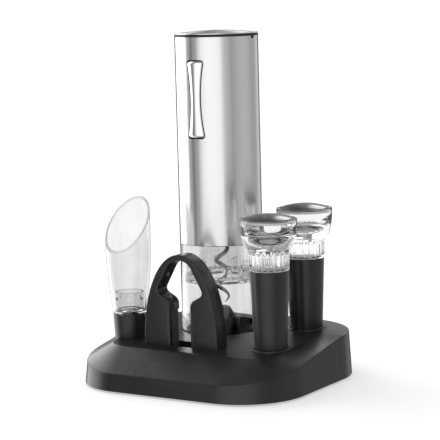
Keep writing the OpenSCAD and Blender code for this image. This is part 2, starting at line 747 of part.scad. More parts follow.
module pourer_spout() color([0.9, 0.93, 0.95, 0.3])
    in_pourer() {
        heights = [for (i = [0 : 14]) pourer_plug_h + (spout_top + 3 - pourer_plug_h) * i / 14];
        wall = concat([[pourer_core_r - 1.4, 4], [pourer_core_r, 4], [pourer_core_r, pourer_plug_h]],
            [for (z = heights) [spout_outer(z), z]],
            [for (i = [14 : -1 : 1]) [spout_outer(heights[i]) - spout_wall, heights[i]]],
            [[spout_outer(pourer_plug_h + 1.6) - spout_wall, pourer_plug_h + 1.6], [pourer_core_r - 1.4, pourer_plug_h + 1.6]]);
        difference() {
            rotate_extrude() polygon(wall);
            translate([0, -spout_r, spout_lip]) rotate([atan2(spout_top - spout_lip, 2 * spout_r), 0, 0])
                translate([-30, -60, 0]) cube([60, 160, 80]);
        }
    }

module pourer_aerator() color([0.85, 0.9, 0.92, 0.4])
    in_pourer(pourer_plug_h + 1.6)
        difference() {
            cylinder(r = pourer_plug_r - spout_wall - 0.4, h = 12);
            translate([0, 0, 1.2]) cylinder(r = pourer_plug_r - spout_wall - 1.4, h = 20);
            translate([0, 0, -over]) cylinder(r = 3, h = 5, $fn = 48);
            for (a = [0 : 60 : 300])
                rotate(a) translate([3, 0, 8]) rotate([0, 90, 0]) cylinder(r = 0.9, h = 10, $fn = 32);
        }

module pourer_plug() color([0.06, 0.06, 0.06])
    in_pourer()
        difference() {
            cylinder(r1 = pourer_foot_r, r2 = pourer_plug_r, h = pourer_plug_h);
            translate([0, 0, -over]) cylinder(r = pourer_core_r, h = pourer_plug_h + 2 * over);
        }

// ---- Stoppers ----

neck_top = plug_h + neck_h;
rim_z = neck_top + knob_h;
cap_r = knob_r - 1.3;

// Clear knob: a bowl over a fluted neck, on a stem that the plug is pushed over
module stopper_knob(xy) color([0.9, 0.93, 0.95, 0.3])
    on_stand(xy, socket_z)
        difference() {
            rotate_extrude() polygon(concat([[0, 6], [stopper_core_r, 6], [stopper_core_r, plug_h],
                [neck_r - 0.2, plug_h], [neck_r + 0.2, neck_top - 0.6]],
                [for (i = [0 : 8]) let (t = 90 * i / 8) [neck_r - 0.4 + (knob_r - neck_r + 0.4) * sin(t),
                    rim_z - 3 - (knob_h - 3.6) * cos(t)]],
                [[knob_r, rim_z - 0.8], [knob_r - 0.4, rim_z], [cap_r, rim_z], [cap_r, rim_z - 2.4]],
                [for (i = [0 : 8]) let (t = 90 * i / 8) [(cap_r - 0.8) * cos(t), rim_z - 2.4 - (knob_h - 7) * sin(t)]]));
            for (a = [0 : 18 : 342])
                rotate(a) translate([neck_r + 0.75, 0, plug_h + 0.8])
                    cylinder(r = 1.1, h = neck_h - 2, $fn = 24);
        }

module stopper_cap(xy) color([0.12, 0.12, 0.13])
    on_stand(xy, socket_z + rim_z - 2.4) {
        crown = 2.6;
        ball_r = (cap_r * cap_r + crown * crown) / (2 * crown);
        intersection() {
            cylinder(r = cap_r - 0.1, h = 2.6 + crown);
            translate([0, 0, 2.6 + crown - ball_r]) sphere(r = ball_r, $fn = 160);
        }
    }

module stopper_plug(xy) color([0.08, 0.08, 0.08])
    on_stand(xy, socket_z)
        difference() {
            cylinder(r1 = plug_foot_r, r2 = plug_top_r, h = plug_h);
            translate([0, 0, 6]) cylinder(r = stopper_core_r, h = plug_h);
        }

stand_shell();
stand_cover();
rubber_feet();
cover_screws();
body_tube();
battery_box();
batteries();
battery_springs();
cap_dome();
cap_plug();
cap_contact();
motor_frame();
motor_can();
motor_shaft();
motor_pinion();
gear_case();
ring_gear();
planet_gear(0);  // planet_gear_1
planet_gear(1);  // planet_gear_2
planet_gear(2);  // planet_gear_3
planet_carrier();
planet_pins();
output_bush();
worm_hub();
corkscrew();
clear_sleeve();
cork_guide();
rocker_button();
rocker_pin();
switch_board();
tact_switches();
frame_screws();
cutter_body();
cutter_wheel(0);  // cutter_wheel_1
cutter_wheel(1);  // cutter_wheel_2
cutter_wheel(2);  // cutter_wheel_3
cutter_wheel(3);  // cutter_wheel_4
wheel_axles();
pourer_spout();
pourer_aerator();
pourer_plug();
stopper_knob(front_stopper_xy);  // front_stopper_knob
stopper_cap(front_stopper_xy);  // front_stopper_cap
stopper_plug(front_stopper_xy);  // front_stopper_plug
stopper_knob(rear_stopper_xy);  // rear_stopper_knob
stopper_cap(rear_stopper_xy);  // rear_stopper_cap
stopper_plug(rear_stopper_xy);  // rear_stopper_plug
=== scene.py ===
"""Looks for the cordless wine opener on its stand, with its foil cutter, pourer and two stoppers.

Sizes in this file are in millimetres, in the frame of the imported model. MM turns them into metres.
"""

import math

import bmesh
import bpy
import numpy as np
from mathutils import Matrix, Vector


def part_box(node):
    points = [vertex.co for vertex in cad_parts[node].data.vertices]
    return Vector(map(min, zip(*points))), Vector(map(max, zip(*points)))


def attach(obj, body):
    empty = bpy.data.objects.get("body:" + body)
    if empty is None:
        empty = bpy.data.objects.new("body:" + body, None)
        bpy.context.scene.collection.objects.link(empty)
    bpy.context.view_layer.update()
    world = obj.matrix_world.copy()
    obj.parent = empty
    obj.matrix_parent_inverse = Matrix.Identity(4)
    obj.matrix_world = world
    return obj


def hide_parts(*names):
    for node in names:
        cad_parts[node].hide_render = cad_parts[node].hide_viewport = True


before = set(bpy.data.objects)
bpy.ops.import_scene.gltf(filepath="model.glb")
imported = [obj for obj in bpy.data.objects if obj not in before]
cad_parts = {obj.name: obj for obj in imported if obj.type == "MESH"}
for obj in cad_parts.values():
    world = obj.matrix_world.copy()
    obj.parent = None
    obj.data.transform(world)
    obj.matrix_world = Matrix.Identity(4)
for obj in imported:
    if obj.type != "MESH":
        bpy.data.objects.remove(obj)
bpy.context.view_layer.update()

MM = 0.001


# ---------------------------------------------------------------- places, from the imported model


def span(node):
    """Lowest and highest corner of a CAD node, in millimetres."""
    low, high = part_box(node)
    return np.array(low) / MM, np.array(high) / MM


def middle(node):
    """Centre of a CAD node seen from above, in millimetres."""
    low, high = span(node)
    return (low[:2] + high[:2]) / 2


FOOT_Z = span("stand_shell")[0][2]
OPENER = middle("clear_sleeve")
CUTTER = middle("cutter_body")
POURER = middle("pourer_plug")
STOPPERS = {side: middle(side + "_stopper_plug") for side in ("front", "rear")}
TUBE_R = (span("body_tube")[1] - span("body_tube")[0])[0] / 2
SLEEVE_BOTTOM, SLEEVE_TOP = (corner[2] for corner in span("clear_sleeve"))
TUBE_BOTTOM, TUBE_TOP = (corner[2] for corner in span("body_tube"))
ROCKER_LEN, ROCKER_Z = 47.0, TUBE_TOP - 38.0
STOPPER_FOOT_R, POURER_FOOT_R, STEM_R = 9.6, 9.2, 7.05  # the rubber plugs, at the foot and inside
RELIEF_X, RELIEF_H = 8.7, 24.5  # the floor of the relief inside the cutter's legs, and its height


# ---------------------------------------------------------------- shapes worked out as arrays


def rounded(corners, closed=False, steps=5):
    """A line through corners (a, b, radius): each corner with a radius becomes an arc that is tangent
    to both of its sides, of steps pieces. Returns the points as an array."""
    places = np.array([c[:2] for c in corners], float)
    out = []
    for i, (a, b, radius) in enumerate(corners):
        if radius <= 0 or (not closed and i in (0, len(corners) - 1)):
            out.append([[a, b]])
            continue
        here = places[i]
        back, ahead = places[i - 1] - here, places[(i + 1) % len(corners)] - here
        long_back, long_ahead = np.linalg.norm(back), np.linalg.norm(ahead)
        back, ahead = back / long_back, ahead / long_ahead
        half = math.acos(np.clip(back @ ahead, -1, 1)) / 2
        if half > math.radians(89):
            out.append([[a, b]])
            continue
        reach = min(radius / math.tan(half), 0.48 * long_back, 0.48 * long_ahead)
        radius = reach * math.tan(half)
        centre = here + (back + ahead) / np.linalg.norm(back + ahead) * radius / math.sin(half)
        first, last = here + back * reach - centre, here + ahead * reach - centre
        turn = math.acos(np.clip(first @ last / radius**2, -1, 1))
        t = np.linspace(0, 1, steps + 1)[:, None]
        out.append(centre + (np.sin((1 - t) * turn) * first + np.sin(t * turn) * last) / math.sin(turn))
    return np.concatenate(out)


def spread(points, gap):
    """The same line with straight stretches longer than gap cut into equal pieces."""
    out = []
    for a, b in zip(points[:-1], points[1:]):
        n = max(1, int(np.linalg.norm(b - a) / gap))
        out.append(a + (b - a) * np.arange(n)[:, None] / n)
    return np.concatenate(out + [points[-1:]])


def circle(radius, steps):
    """Points (x, y) at equal angles round a circle about (0, 0)."""
    a = np.linspace(0, 2 * np.pi, steps, endpoint=False)
    return radius * np.column_stack([np.cos(a), np.sin(a)])


def grid_faces(rows, cols, close_rows=False):
    """Quads between neighbouring points of a grid whose points are numbered row by row. Each row is a closed
    ring; close_rows joins the last row to the first."""
    i, j = np.meshgrid(np.arange(rows if close_rows else rows - 1), np.arange(cols), indexing="ij")
    i2, j2 = (i + 1) % rows, (j + 1) % cols
    return np.stack([i * cols + j, i * cols + j2, i2 * cols + j2, i2 * cols + j], -1).reshape(-1, 4)


def end_faces(rows, cols):
    """The two flat faces that close a grid: its first ring and its last."""
    n = rows * cols
    return [range(cols), range(n - 1, n - cols - 1, -1)]


def piece(name, points, faces, extra=(), sharp=40):
    """A mesh object from points in millimetres: doubles merged, faces turned outwards, and smooth where faces
    meet at less than sharp degrees."""
    mesh = bpy.data.meshes.new(name)
    faces = np.asarray(faces).tolist() + [list(face) for face in extra]
    mesh.from_pydata((np.asarray(points, float) * MM).tolist(), [], faces)
    bm = bmesh.new()
    bm.from_mesh(mesh)
    bmesh.ops.remove_doubles(bm, verts=bm.verts, dist=1e-6)
    bmesh.ops.dissolve_degenerate(bm, edges=bm.edges, dist=1e-7)
    bmesh.ops.recalc_face_normals(bm, faces=bm.faces)
    bm.to_mesh(mesh)
    bm.free()
    smooth(mesh, sharp)
    made = bpy.data.objects.new(name, mesh)
    bpy.context.scene.collection.objects.link(made)
    return made


def smooth(mesh, sharp):
    """Smooth shading, broken at edges where faces meet at more than sharp degrees."""
    mesh.polygons.foreach_set("use_smooth", np.ones(len(mesh.polygons), bool))
    mesh.set_sharp_from_angle(angle=math.radians(sharp))
    mesh.update()


def turned(name, profile, centre, around=144, loop=False, shift=None, sharp=40):
    """A turned piece: each point (r, z) of the profile is carried round the centre, to x = r cos a and
    y = r sin a. A loop is a ring's closed section; otherwise both ends lie on the axis. shift(x, y, z, a) may
    move the points before they go to the centre."""
    profile = np.asarray(profile, float)
    a = np.linspace(0, 2 * np.pi, around, endpoint=False)
    r, a = np.meshgrid(profile[:, 0], a, indexing="ij")
    z = np.repeat(profile[:, 1][:, None], around, 1)
    x, y = r * np.cos(a), r * np.sin(a)
    if shift:
        x, y, z = shift(x, y, z, a)
    points = np.stack([x + centre[0], y + centre[1], z], -1).reshape(-1, 3)
    return piece(name, points, grid_faces(len(profile), around, close_rows=loop), sharp=sharp)


def carved(body, cutters, bevel=0.0, sharp=40):
    """body with the cutters taken out of it, and its sharp edges broken by bevel millimetres."""
    bpy.context.view_layer.update()
    for cutter in cutters:
        cut = body.modifiers.new("cut", "BOOLEAN")
        cut.operation, cut.solver, cut.object = "DIFFERENCE", "EXACT", cutter
    if bevel:
        soft = body.modifiers.new("soft", "BEVEL")
        soft.width, soft.segments, soft.limit_method = bevel * MM, 3, "ANGLE"
        soft.angle_limit = math.radians(48)
        soft.use_clamp_overlap = True
        weigh = body.modifiers.new("weigh", "WEIGHTED_NORMAL")
        weigh.keep_sharp = True
    ready = body.evaluated_get(bpy.context.evaluated_depsgraph_get())
    mesh = bpy.data.meshes.new_from_object(ready)
    body.modifiers.clear()
    body.data = mesh
    if not bevel:
        smooth(mesh, sharp)
    for cutter in cutters:
        bpy.data.objects.remove(cutter)
    return body


def prism(name, outline, low, high, turn=None):
    """The outline (x, y) carried straight up from low to high; turn(points) may then move it."""
    n = len(outline)
    points = np.concatenate([np.column_stack([outline, np.full(n, z)]) for z in (low, high)])
    if turn:
        points = turn(points)
    return piece(name, points, grid_faces(2, n), end_faces(2, n))


# ---------------------------------------------------------------- materials


def put(tree, kind, inputs=(), **settings):
    """A new node in the tree. Each input is another node's output, which is linked, or a plain value."""
    node = tree.nodes.new(kind)
    for key, value in settings.items():
        setattr(node, key, value)
    for key, value in dict(inputs).items():
        if isinstance(value, bpy.types.NodeSocket):
            tree.links.new(value, node.inputs[key])
        else:
            node.inputs[key].default_value = value
    return node


def worked(tree, operation, *values):
    """What a Math node makes of the values."""
    return put(tree, "ShaderNodeMath", enumerate(values), operation=operation).outputs[0]


class Finish:
    """A material with one Principled shader. Patterns are in object coordinates, in metres."""

    def __init__(self, name, **sockets):
        self.material = bpy.data.materials.new(name)
        self.material.use_nodes = True
        self.tree = self.material.node_tree
        self.shader = self.tree.nodes["Principled BSDF"]
        self.place = self.add("ShaderNodeTexCoord").outputs["Object"]
        for socket, value in sockets.items():
            self.shader.inputs[socket.replace("_", " ")].default_value = value

    def add(self, kind, inputs=(), **settings):
        """A new node, as put() makes it."""
        return put(self.tree, kind, inputs, **settings)

    def maths(self, operation, *values):
        """A new Math node's result, as worked() makes it."""
        return worked(self.tree, operation, *values)

    def axes(self):
        """The place's x, y and z."""
        return self.add("ShaderNodeSeparateXYZ", {0: self.place}).outputs

    def noise(self, size, stretch=(1, 1, 1), detail=2.0, rough=0.5):
        """Noise whose lumps are about size millimetres, in a place scaled by stretch on each axis."""
        place = self.add("ShaderNodeMapping", {"Vector": self.place, "Scale": stretch}).outputs[0]
        return self.add("ShaderNodeTexNoise", {"Vector": place, "Scale": 1 / (size * MM), "Detail": detail,
                                               "Roughness": rough}).outputs["Fac"]

    def ranged(self, value, low, high, start=0.3, end=0.7):
        """low where the value is start, high where it is end, and in proportion between them."""
        return self.add("ShaderNodeMapRange", {"Value": value, "From Min": start, "From Max": end,
                                               "To Min": low, "To Max": high}).outputs[0]

    def mixed(self, factor, first, second):
        """A colour between first and second."""
        first, second = (colour if isinstance(colour, bpy.types.NodeSocket) else (*colour, 1)
                         for colour in (first, second))
        return self.add("ShaderNodeMix", {0: factor, 6: first, 7: second}, data_type="RGBA").outputs[2]

    def to(self, socket, value):
        """Links the value to one of the shader's sockets."""
        self.tree.links.new(value, self.shader.inputs[socket])

    def bump(self, height, depth, strength=1.0):
        """Relief of depth millimetres where height runs from 0 to 1."""
        node = self.add("ShaderNodeBump", {"Height": height, "Distance": depth * MM, "Strength": strength})
        before = self.shader.inputs["Normal"].links
        if before:
            self.tree.links.new(before[0].from_socket, node.inputs["Normal"])
        self.to("Normal", node.outputs[0])


SLOW_SIZE = 26.0


def moulded(name, dark, light, rough, grain=0.45, depth=0.012, **sockets):
    """Moulded plastic or rubber: a fine pebbled grain of that size and depth in millimetres, and slow changes
    of tone and gloss."""
    made = Finish(name, **sockets)
    slow, fine = made.noise(SLOW_SIZE, detail=3), made.noise(grain)
    made.to("Base Color", made.mixed(made.ranged(slow, 0, 1), dark, light))
    made.to("Roughness", made.maths("ADD", made.ranged(slow, rough - 0.04, rough + 0.04),
                                    made.ranged(fine, -0.03, 0.03)))
    made.bump(fine, depth)
    return made.material


def metal(name, dark, light, rough, stretch, size, depth=0.004, **sockets):
    """Metal with fine drawn lines: noise stretched along the lines changes tone, gloss and relief."""
    made = Finish(name, Metallic=1.0, **sockets)
    lines, slow = made.noise(size, stretch, detail=3, rough=0.6), made.noise(30)
    made.to("Base Color", made.mixed(made.ranged(lines, 0, 1, 0.25, 0.75), dark, light))
    made.to("Roughness", made.maths("ADD", made.ranged(lines, rough - 0.03, rough + 0.03),
                                    made.ranged(slow, -0.02, 0.02)))
    if depth:
        made.bump(lines, depth)
    return made.material


def clear(name, tint=(0.83, 0.835, 0.83), edge=None):
    """Clear moulded acrylic: very slow waves from the mould and a trace of haze. edge is the (middle y, height
    there, slope) of a slanting cut, in millimetres, whose face is left matt."""
    made = Finish(name, Transmission_Weight=1.0, IOR=1.47)
    waves = made.noise(9, detail=1)
    made.to("Base Color", made.mixed(made.ranged(waves, 0, 1), tint, [c + 0.03 for c in tint]))
    haze = made.ranged(made.noise(2.5), 0.0, 0.025)
    if edge:
        middle_y, height, slope = edge
        _, y, z = made.axes()
        plane = made.maths("MULTIPLY_ADD", y, slope, (height - middle_y * slope) * MM)
        below = made.maths("SUBTRACT", plane, z)
        cut_ends = 0.35 * MM, 0.6 * MM
        haze = made.maths("ADD", haze, made.ranged(below, 0.55, 0.0, *cut_ends))
        made.to("Transmission Weight", made.ranged(below, 0.3, 1.0, *cut_ends))
    made.to("Roughness", haze)
    made.bump(waves, 0.01)
    return made.material


def cell_wrap():
    """Battery jackets: a dark sleeve with a copper-toned band at the upper end."""
    band_h = 16
    made = Finish("cell jacket", Roughness=0.35)
    band = made.maths("GREATER_THAN", made.axes()[2], (span("batteries")[1][2] - band_h) * MM)
    body = made.mixed(made.ranged(made.noise(4), 0, 1), (0.02, 0.02, 0.022), (0.035, 0.035, 0.04))
    copper = made.mixed(made.ranged(made.noise(0.6, (1, 1, 0.1)), 0, 1), (0.5, 0.24, 0.1), (0.62, 0.32, 0.15))
    made.to("Base Color", made.mixed(band, body, copper))
    return made.material


def satin_cutter_with_painted_light():
    """The cutter's satin black, duller on the floor of the relief inside its legs, and painted paler there: the
    paler grey is a painted reflection that stands in for light glancing off that floor. There, x is RELIEF_X
    from the middle on either side, and z is below the relief's top."""
    made = Finish("satin black cutter, painted lighter in the relief")
    slow, fine = made.noise(SLOW_SIZE, detail=3), made.noise(0.35)
    black = made.mixed(made.ranged(slow, 0, 1), (0.016, 0.016, 0.0165), (0.024, 0.024, 0.0245))
    # The mask below marks the relief's floor, where reflected light is painted in as a paler grey.
    x, _, z = made.axes()
    off = made.maths("ABSOLUTE", made.maths("SUBTRACT", x, CUTTER[0] * MM))
    floor = made.maths("COMPARE", off, RELIEF_X * MM, 0.12 * MM)
    low = made.maths("LESS_THAN", z, (span("cutter_body")[0][2] + RELIEF_H) * MM)
    relief = made.maths("MULTIPLY", floor, low)
    # Painted light: the paler grey on the relief's floor stands in for light reflected off it, not for a
    # different colour of plastic.
    made.to("Base Color", made.mixed(relief, black, (0.075, 0.075, 0.076)))
    gloss = made.maths("ADD", made.ranged(slow, 0.24, 0.3), made.ranged(fine, -0.03, 0.03))
    made.to("Roughness", made.maths("MULTIPLY_ADD", relief, 0.25, gloss))
    made.bump(fine, 0.008)
    return made.material


ACROSS = (1, 1, 30)
STEEL_LIGHT, STEEL_DARK = (0.88, 0.88, 0.862), (0.76, 0.76, 0.742)
FINISHES = {
    "stand_plastic": moulded("satin black stand", (0.009, 0.009, 0.0095), (0.015, 0.015, 0.0155), 0.30),
    "inner_plastic": moulded("inner black plastic", (0.012, 0.012, 0.012), (0.02, 0.02, 0.02), 0.45),
    "rubber": moulded("black silicone", (0.010, 0.010, 0.0105), (0.015, 0.015, 0.0155), 0.36, 0.3, 0.006,
                      Sheen_Weight=0.12, Sheen_Roughness=0.4),
    "satin_black": satin_cutter_with_painted_light(),
    "gear_nylon": moulded("gear nylon", (0.84, 0.83, 0.80), (0.9, 0.89, 0.87), 0.42, Subsurface_Weight=0.1,
                          Subsurface_Radius=(0.002, 0.002, 0.002)),
    "board": moulded("circuit board", (0.015, 0.09, 0.04), (0.02, 0.12, 0.055), 0.3, 1.2, 0.01),
    "switch_housing": moulded("switch housing", (0.03, 0.03, 0.032), (0.05, 0.05, 0.052), 0.4),
    "brushed_steel": metal("brushed stainless steel", STEEL_DARK, STEEL_LIGHT, 0.24, ACROSS, 0.9, 0.0015,
                           Anisotropic=0.9, Anisotropic_Rotation=0.25),
    "chrome": metal("bright chrome", (0.86, 0.86, 0.87), (0.9, 0.9, 0.91), 0.05, (1, 1, 1), 6, 0.0),
    "dark_steel": metal("polished worm steel", (0.30, 0.305, 0.31), (0.42, 0.425, 0.43), 0.16,
                        (1, 1, 4), 0.6),
    "polished_steel": metal("polished steel", (0.62, 0.62, 0.63), (0.72, 0.72, 0.73), 0.14, (1, 1, 4), 0.5),
    "zinc": metal("zinc plate", (0.55, 0.56, 0.57), (0.66, 0.67, 0.68), 0.3, (1, 1, 1), 1.2, 0.006),
    "brass": metal("turned brass", (0.62, 0.44, 0.17), (0.75, 0.55, 0.24), 0.22, (1, 1, 12), 0.5),
    "graphite": metal("graphite lacquer", (0.03, 0.03, 0.032), (0.05, 0.05, 0.053), 0.24, (1, 1, 1), 0.35,
                      Coat_Weight=0.6, Coat_Roughness=0.06),
    "clear_acrylic": clear("clear acrylic"),
    "cell_jacket": cell_wrap(),
}
drawn = FINISHES["brushed_steel"].node_tree
drawn.links.new(put(drawn, "ShaderNodeTangent").outputs[0], drawn.nodes["Principled BSDF"].inputs["Tangent"])
THICK_CLEAR = clear("clear acrylic of the knobs", (0.94, 0.945, 0.94))
for cad_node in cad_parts.values():
    for held in cad_node.material_slots:
        held.material = FINISHES[held.material.name]


def made_of(obj, slot, body, *nodes, finish=None):
    """Gives a new piece its finish, the body that it rides on and the CAD nodes that it stands for. The finish
    is the slot's, unless another is given."""
    obj.data.materials.clear()
    obj.data.materials.append(finish or FINISHES[slot])
    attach(obj, body)
    if nodes:
        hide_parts(*nodes)
    return obj


# ---------------------------------------------------------------- stand

TOP_Z, TOP_SLOPE = 26.2, math.tan(math.radians(3.6))  # the top's height at y = 0, and its rise to the back
WALL_FRONT_Z, CLIMB = 11.7, math.tan(math.radians(10))  # the wall's height in front, and its rise to the back
HALF_W, HALF_D, CORNER_R = 74.0, 65.0, 39.0  # the foot's outline
DRAFT, WALL = 1.5, 2.5  # how far the wall leans in, and how thick it is
SIDE_IN, FRONT_IN, BACK_IN, FRONT_R = 16.0, 25.0, 5.0, 14.0  # how far inside the foot the top lies
CORNER_STEPS, SIDE_STEPS = 28, 10
STOPPER_SOCKET_R = STOPPER_FOOT_R + 0.9
CUT_TOP = 60.0  # above everything that a socket is cut from


def four_corners(corners):
    """A closed outline of four quarter circles (x, y, radius), from the back right one round to the left, and
    the straight sides between them. Every outline has the same number of points, so two of them pair up."""
    turn = np.radians(np.linspace(0, 90, CORNER_STEPS + 1))
    arcs = [np.column_stack([x + r * np.cos(turn + k * np.pi / 2), y + r * np.sin(turn + k * np.pi / 2)])
            for k, (x, y, r) in enumerate(corners)]
    t = (np.arange(1, SIDE_STEPS) / SIDE_STEPS)[:, None]
    return np.concatenate([part for k in range(4) for part in
                           (arcs[k], arcs[k][-1] + (arcs[(k + 1) % 4][0] - arcs[k][-1]) * t)])


def wall_outline(inset):
    """The foot's outline, moved in by inset."""
    x, y, r = HALF_W - CORNER_R, HALF_D - CORNER_R, CORNER_R - inset
    return four_corners([(x, y, r), (-x, y, r), (-x, -y, r), (x, -y, r)])


def top_outline():
    """The top's edge: round like the wall's at the back, and drawn well in at the front and the sides."""
    back_r = CORNER_R - BACK_IN
    x_back, y_back = HALF_W - SIDE_IN - back_r, HALF_D - BACK_IN - back_r
    x_front, y_front = HALF_W - SIDE_IN - FRONT_R, -HALF_D + FRONT_IN + FRONT_R
    return four_corners([(x_back, y_back, back_r), (-x_back, y_back, back_r), (-x_front, y_front, FRONT_R),
                         (x_front, y_front, FRONT_R)])


def top_height(y):
    """The top's plane."""
    return TOP_Z + TOP_SLOPE * y


def wall_height(y):
    """The wall's top edge climbs at ten degrees until it meets the top's plane, then falls back below it."""
    meet = (WALL_FRONT_Z + CLIMB * HALF_D - TOP_Z) / (TOP_SLOPE - CLIMB)
    fall = DRAFT * np.clip((y - meet) / (HALF_D - BACK_IN - meet), 0, 1)
    return np.where(y < meet, WALL_FRONT_Z + CLIMB * (y + HALF_D), top_height(y) - fall)


def bent(before, corner, after, size, steps):
    """Rings that round a corner: at each point a parabola that leaves the side before it size millimetres short
    of the corner, and meets the side after it as far on."""
    start, end = (corner + side / np.linalg.norm(side, axis=1, keepdims=True) * size
                  for side in (before - corner, after - corner))
    t = np.linspace(0, 1, steps + 1)[:, None, None]
    return list((1 - t) ** 2 * start + 2 * t * (1 - t) * corner + t**2 * end)


def at_height(outline, z):
    """The outline as points in space."""
    return np.column_stack([outline, np.broadcast_to(z, len(outline))])


def build_stand():
    """Rings from the hollow underside round the foot, up the leaning wall, over its rounded top edge, along the
    slope and over the flat top's edge; then the sockets are cut."""
    rim_line, top_line = wall_outline(DRAFT), top_outline()
    foot = at_height(wall_outline(0.0), FOOT_Z)
    inner_foot = at_height(wall_outline(WALL), FOOT_Z)
    hollow = at_height(wall_outline(WALL), FOOT_Z + 3.0)
    rim = at_height(rim_line, wall_height(rim_line[:, 1]))
    top = at_height(top_line, top_height(top_line[:, 1]))
    inside = top * [0.5, 0.5, 1] + [0, 5, 0]
    inside[:, 2] = top_height(inside[:, 1])
    rings = [hollow] + bent(hollow, inner_foot, foot, 0.3, 2) + bent(inner_foot, foot, rim, 0.5, 3)
    rings += [foot + (rim - foot) * 0.5] + bent(foot, rim, top, 0.6, 5)
    rings += [rim + (top - rim) * 0.5] + bent(rim, top, inside, 0.6, 5)
    n = len(rim_line)
    points = np.concatenate(rings)
    body = piece("stand_moulding", points, grid_faces(len(rings), n),
                 [range(n), range(len(points) - n, len(points))], sharp=30)
    cutters = []
    for node, radius in (("front_stopper_plug", STOPPER_SOCKET_R), ("rear_stopper_plug", STOPPER_SOCKET_R),
                         ("pourer_plug", POURER_FOOT_R + 1.1), ("clear_sleeve", TUBE_R + 0.4)):
        cutters.append(prism(node + " socket", middle(node) + circle(radius, 120), span(node)[0][2], CUT_TOP))
    low, high = span("cutter_body")
    gap = 0.4
    slot = rounded([(low[0] - gap, low[1] - gap, 0.8), (high[0] + gap, low[1] - gap, 0.8),
                    (high[0] + gap, high[1] + gap, 0.8), (low[0] - gap, high[1] + gap, 0.8)], closed=True)
    cutters.append(prism("cutter socket", slot, low[2], CUT_TOP))
    made_of(carved(body, cutters, bevel=0.45), "stand_plastic", "stand", "stand_shell")

    foot_z, in_r, out_r = 18.0, STOPPER_SOCKET_R, 11.9

    def sloped(x, y, z, a):
        """The rim's upper part follows the top's slope, and its foot inside the stand stays level."""
        return x, y, z + np.where(z > foot_z + 1, TOP_SLOPE * y, 0)

    for side, centre in STOPPERS.items():
        lift = top_height(centre[1])
        section = rounded([(in_r, foot_z, 0), (in_r, lift + 0.9, 0.5), (out_r - 0.3, lift + 0.9, 0.5),
                           (out_r, lift - 1.5, 0), (out_r, foot_z, 0)], closed=True)
        made_of(turned(side + "_socket_rim", section, centre, loop=True, shift=sloped), "stand_plastic",
                "stand")
    z, tip, step = SLEEVE_BOTTOM, SLEEVE_BOTTOM + 17.9, SLEEVE_BOTTOM + 12.4
    post = rounded([(0, tip, 0), (4.2, tip, 0.8), (7.4, step + 0.5, 0.6), (7.4, step, 0.2), (10.4, step, 0.6),
                    (10.4, z - 1, 0), (0, z - 1, 0)], steps=6)
    made_of(turned("centring_post", post, OPENER), "stand_plastic", "stand")


# ---------------------------------------------------------------- opener


def rocker_half_width(z, half_length, grow=0.0):
    """Half width of the rocker's outline at height z from its middle: a parabola from the waist to the ends,
    and a round corner at each end. grow makes room all round."""
    waist, end, corner = 3.4 + grow, 5.5 + grow, 1.6 + grow
    t = np.clip(np.abs(z) / (half_length - corner), 0, 1)
    past = np.clip(np.abs(z) - (half_length - corner), 0, corner)
    return waist + (end - waist) * t**2 - corner + np.sqrt(corner**2 - past**2)


def facing_front(p):
    """Points drawn in the rocker's own plane, stood up on the opener: their third value faces forwards."""
    return np.column_stack([p[:, 0] + OPENER[0], OPENER[1] - p[:, 2], p[:, 1] + ROCKER_Z])


def build_tube():
    """Thin steel tube with rounded ends, a window for the rocker and a notch for the cap's catch."""
    r, wall, spare, catch_w = TUBE_R, 0.6, 0.6, 1.6
    section = rounded([(r, TUBE_BOTTOM, 0.22), (r, TUBE_TOP, 0.22), (r - wall, TUBE_TOP, 0.2),
                       (r - wall, TUBE_BOTTOM, 0.2)], closed=True, steps=3)
    body = turned("steel_tube", section, OPENER, around=288, loop=True)
    half = ROCKER_LEN / 2 + spare
    z = half * np.sin(np.linspace(-np.pi / 2, np.pi / 2, 120))
    w = rocker_half_width(z, half, grow=spare)
    outline = np.concatenate([np.column_stack([w, z]), np.column_stack([-w, z])[::-1]])
    window = prism("window", outline, r - 6, r + 4, facing_front)
    notch = np.array([(r + u, v * catch_w / 2) for u, v in ((-3, -1), (3, -1), (3, 1), (-3, 1))])
    catch = prism("notch", notch + OPENER, TUBE_TOP - 1.8, TUBE_TOP + 3)
    made_of(carved(body, [window, catch]), "brushed_steel", "opener", "body_tube")


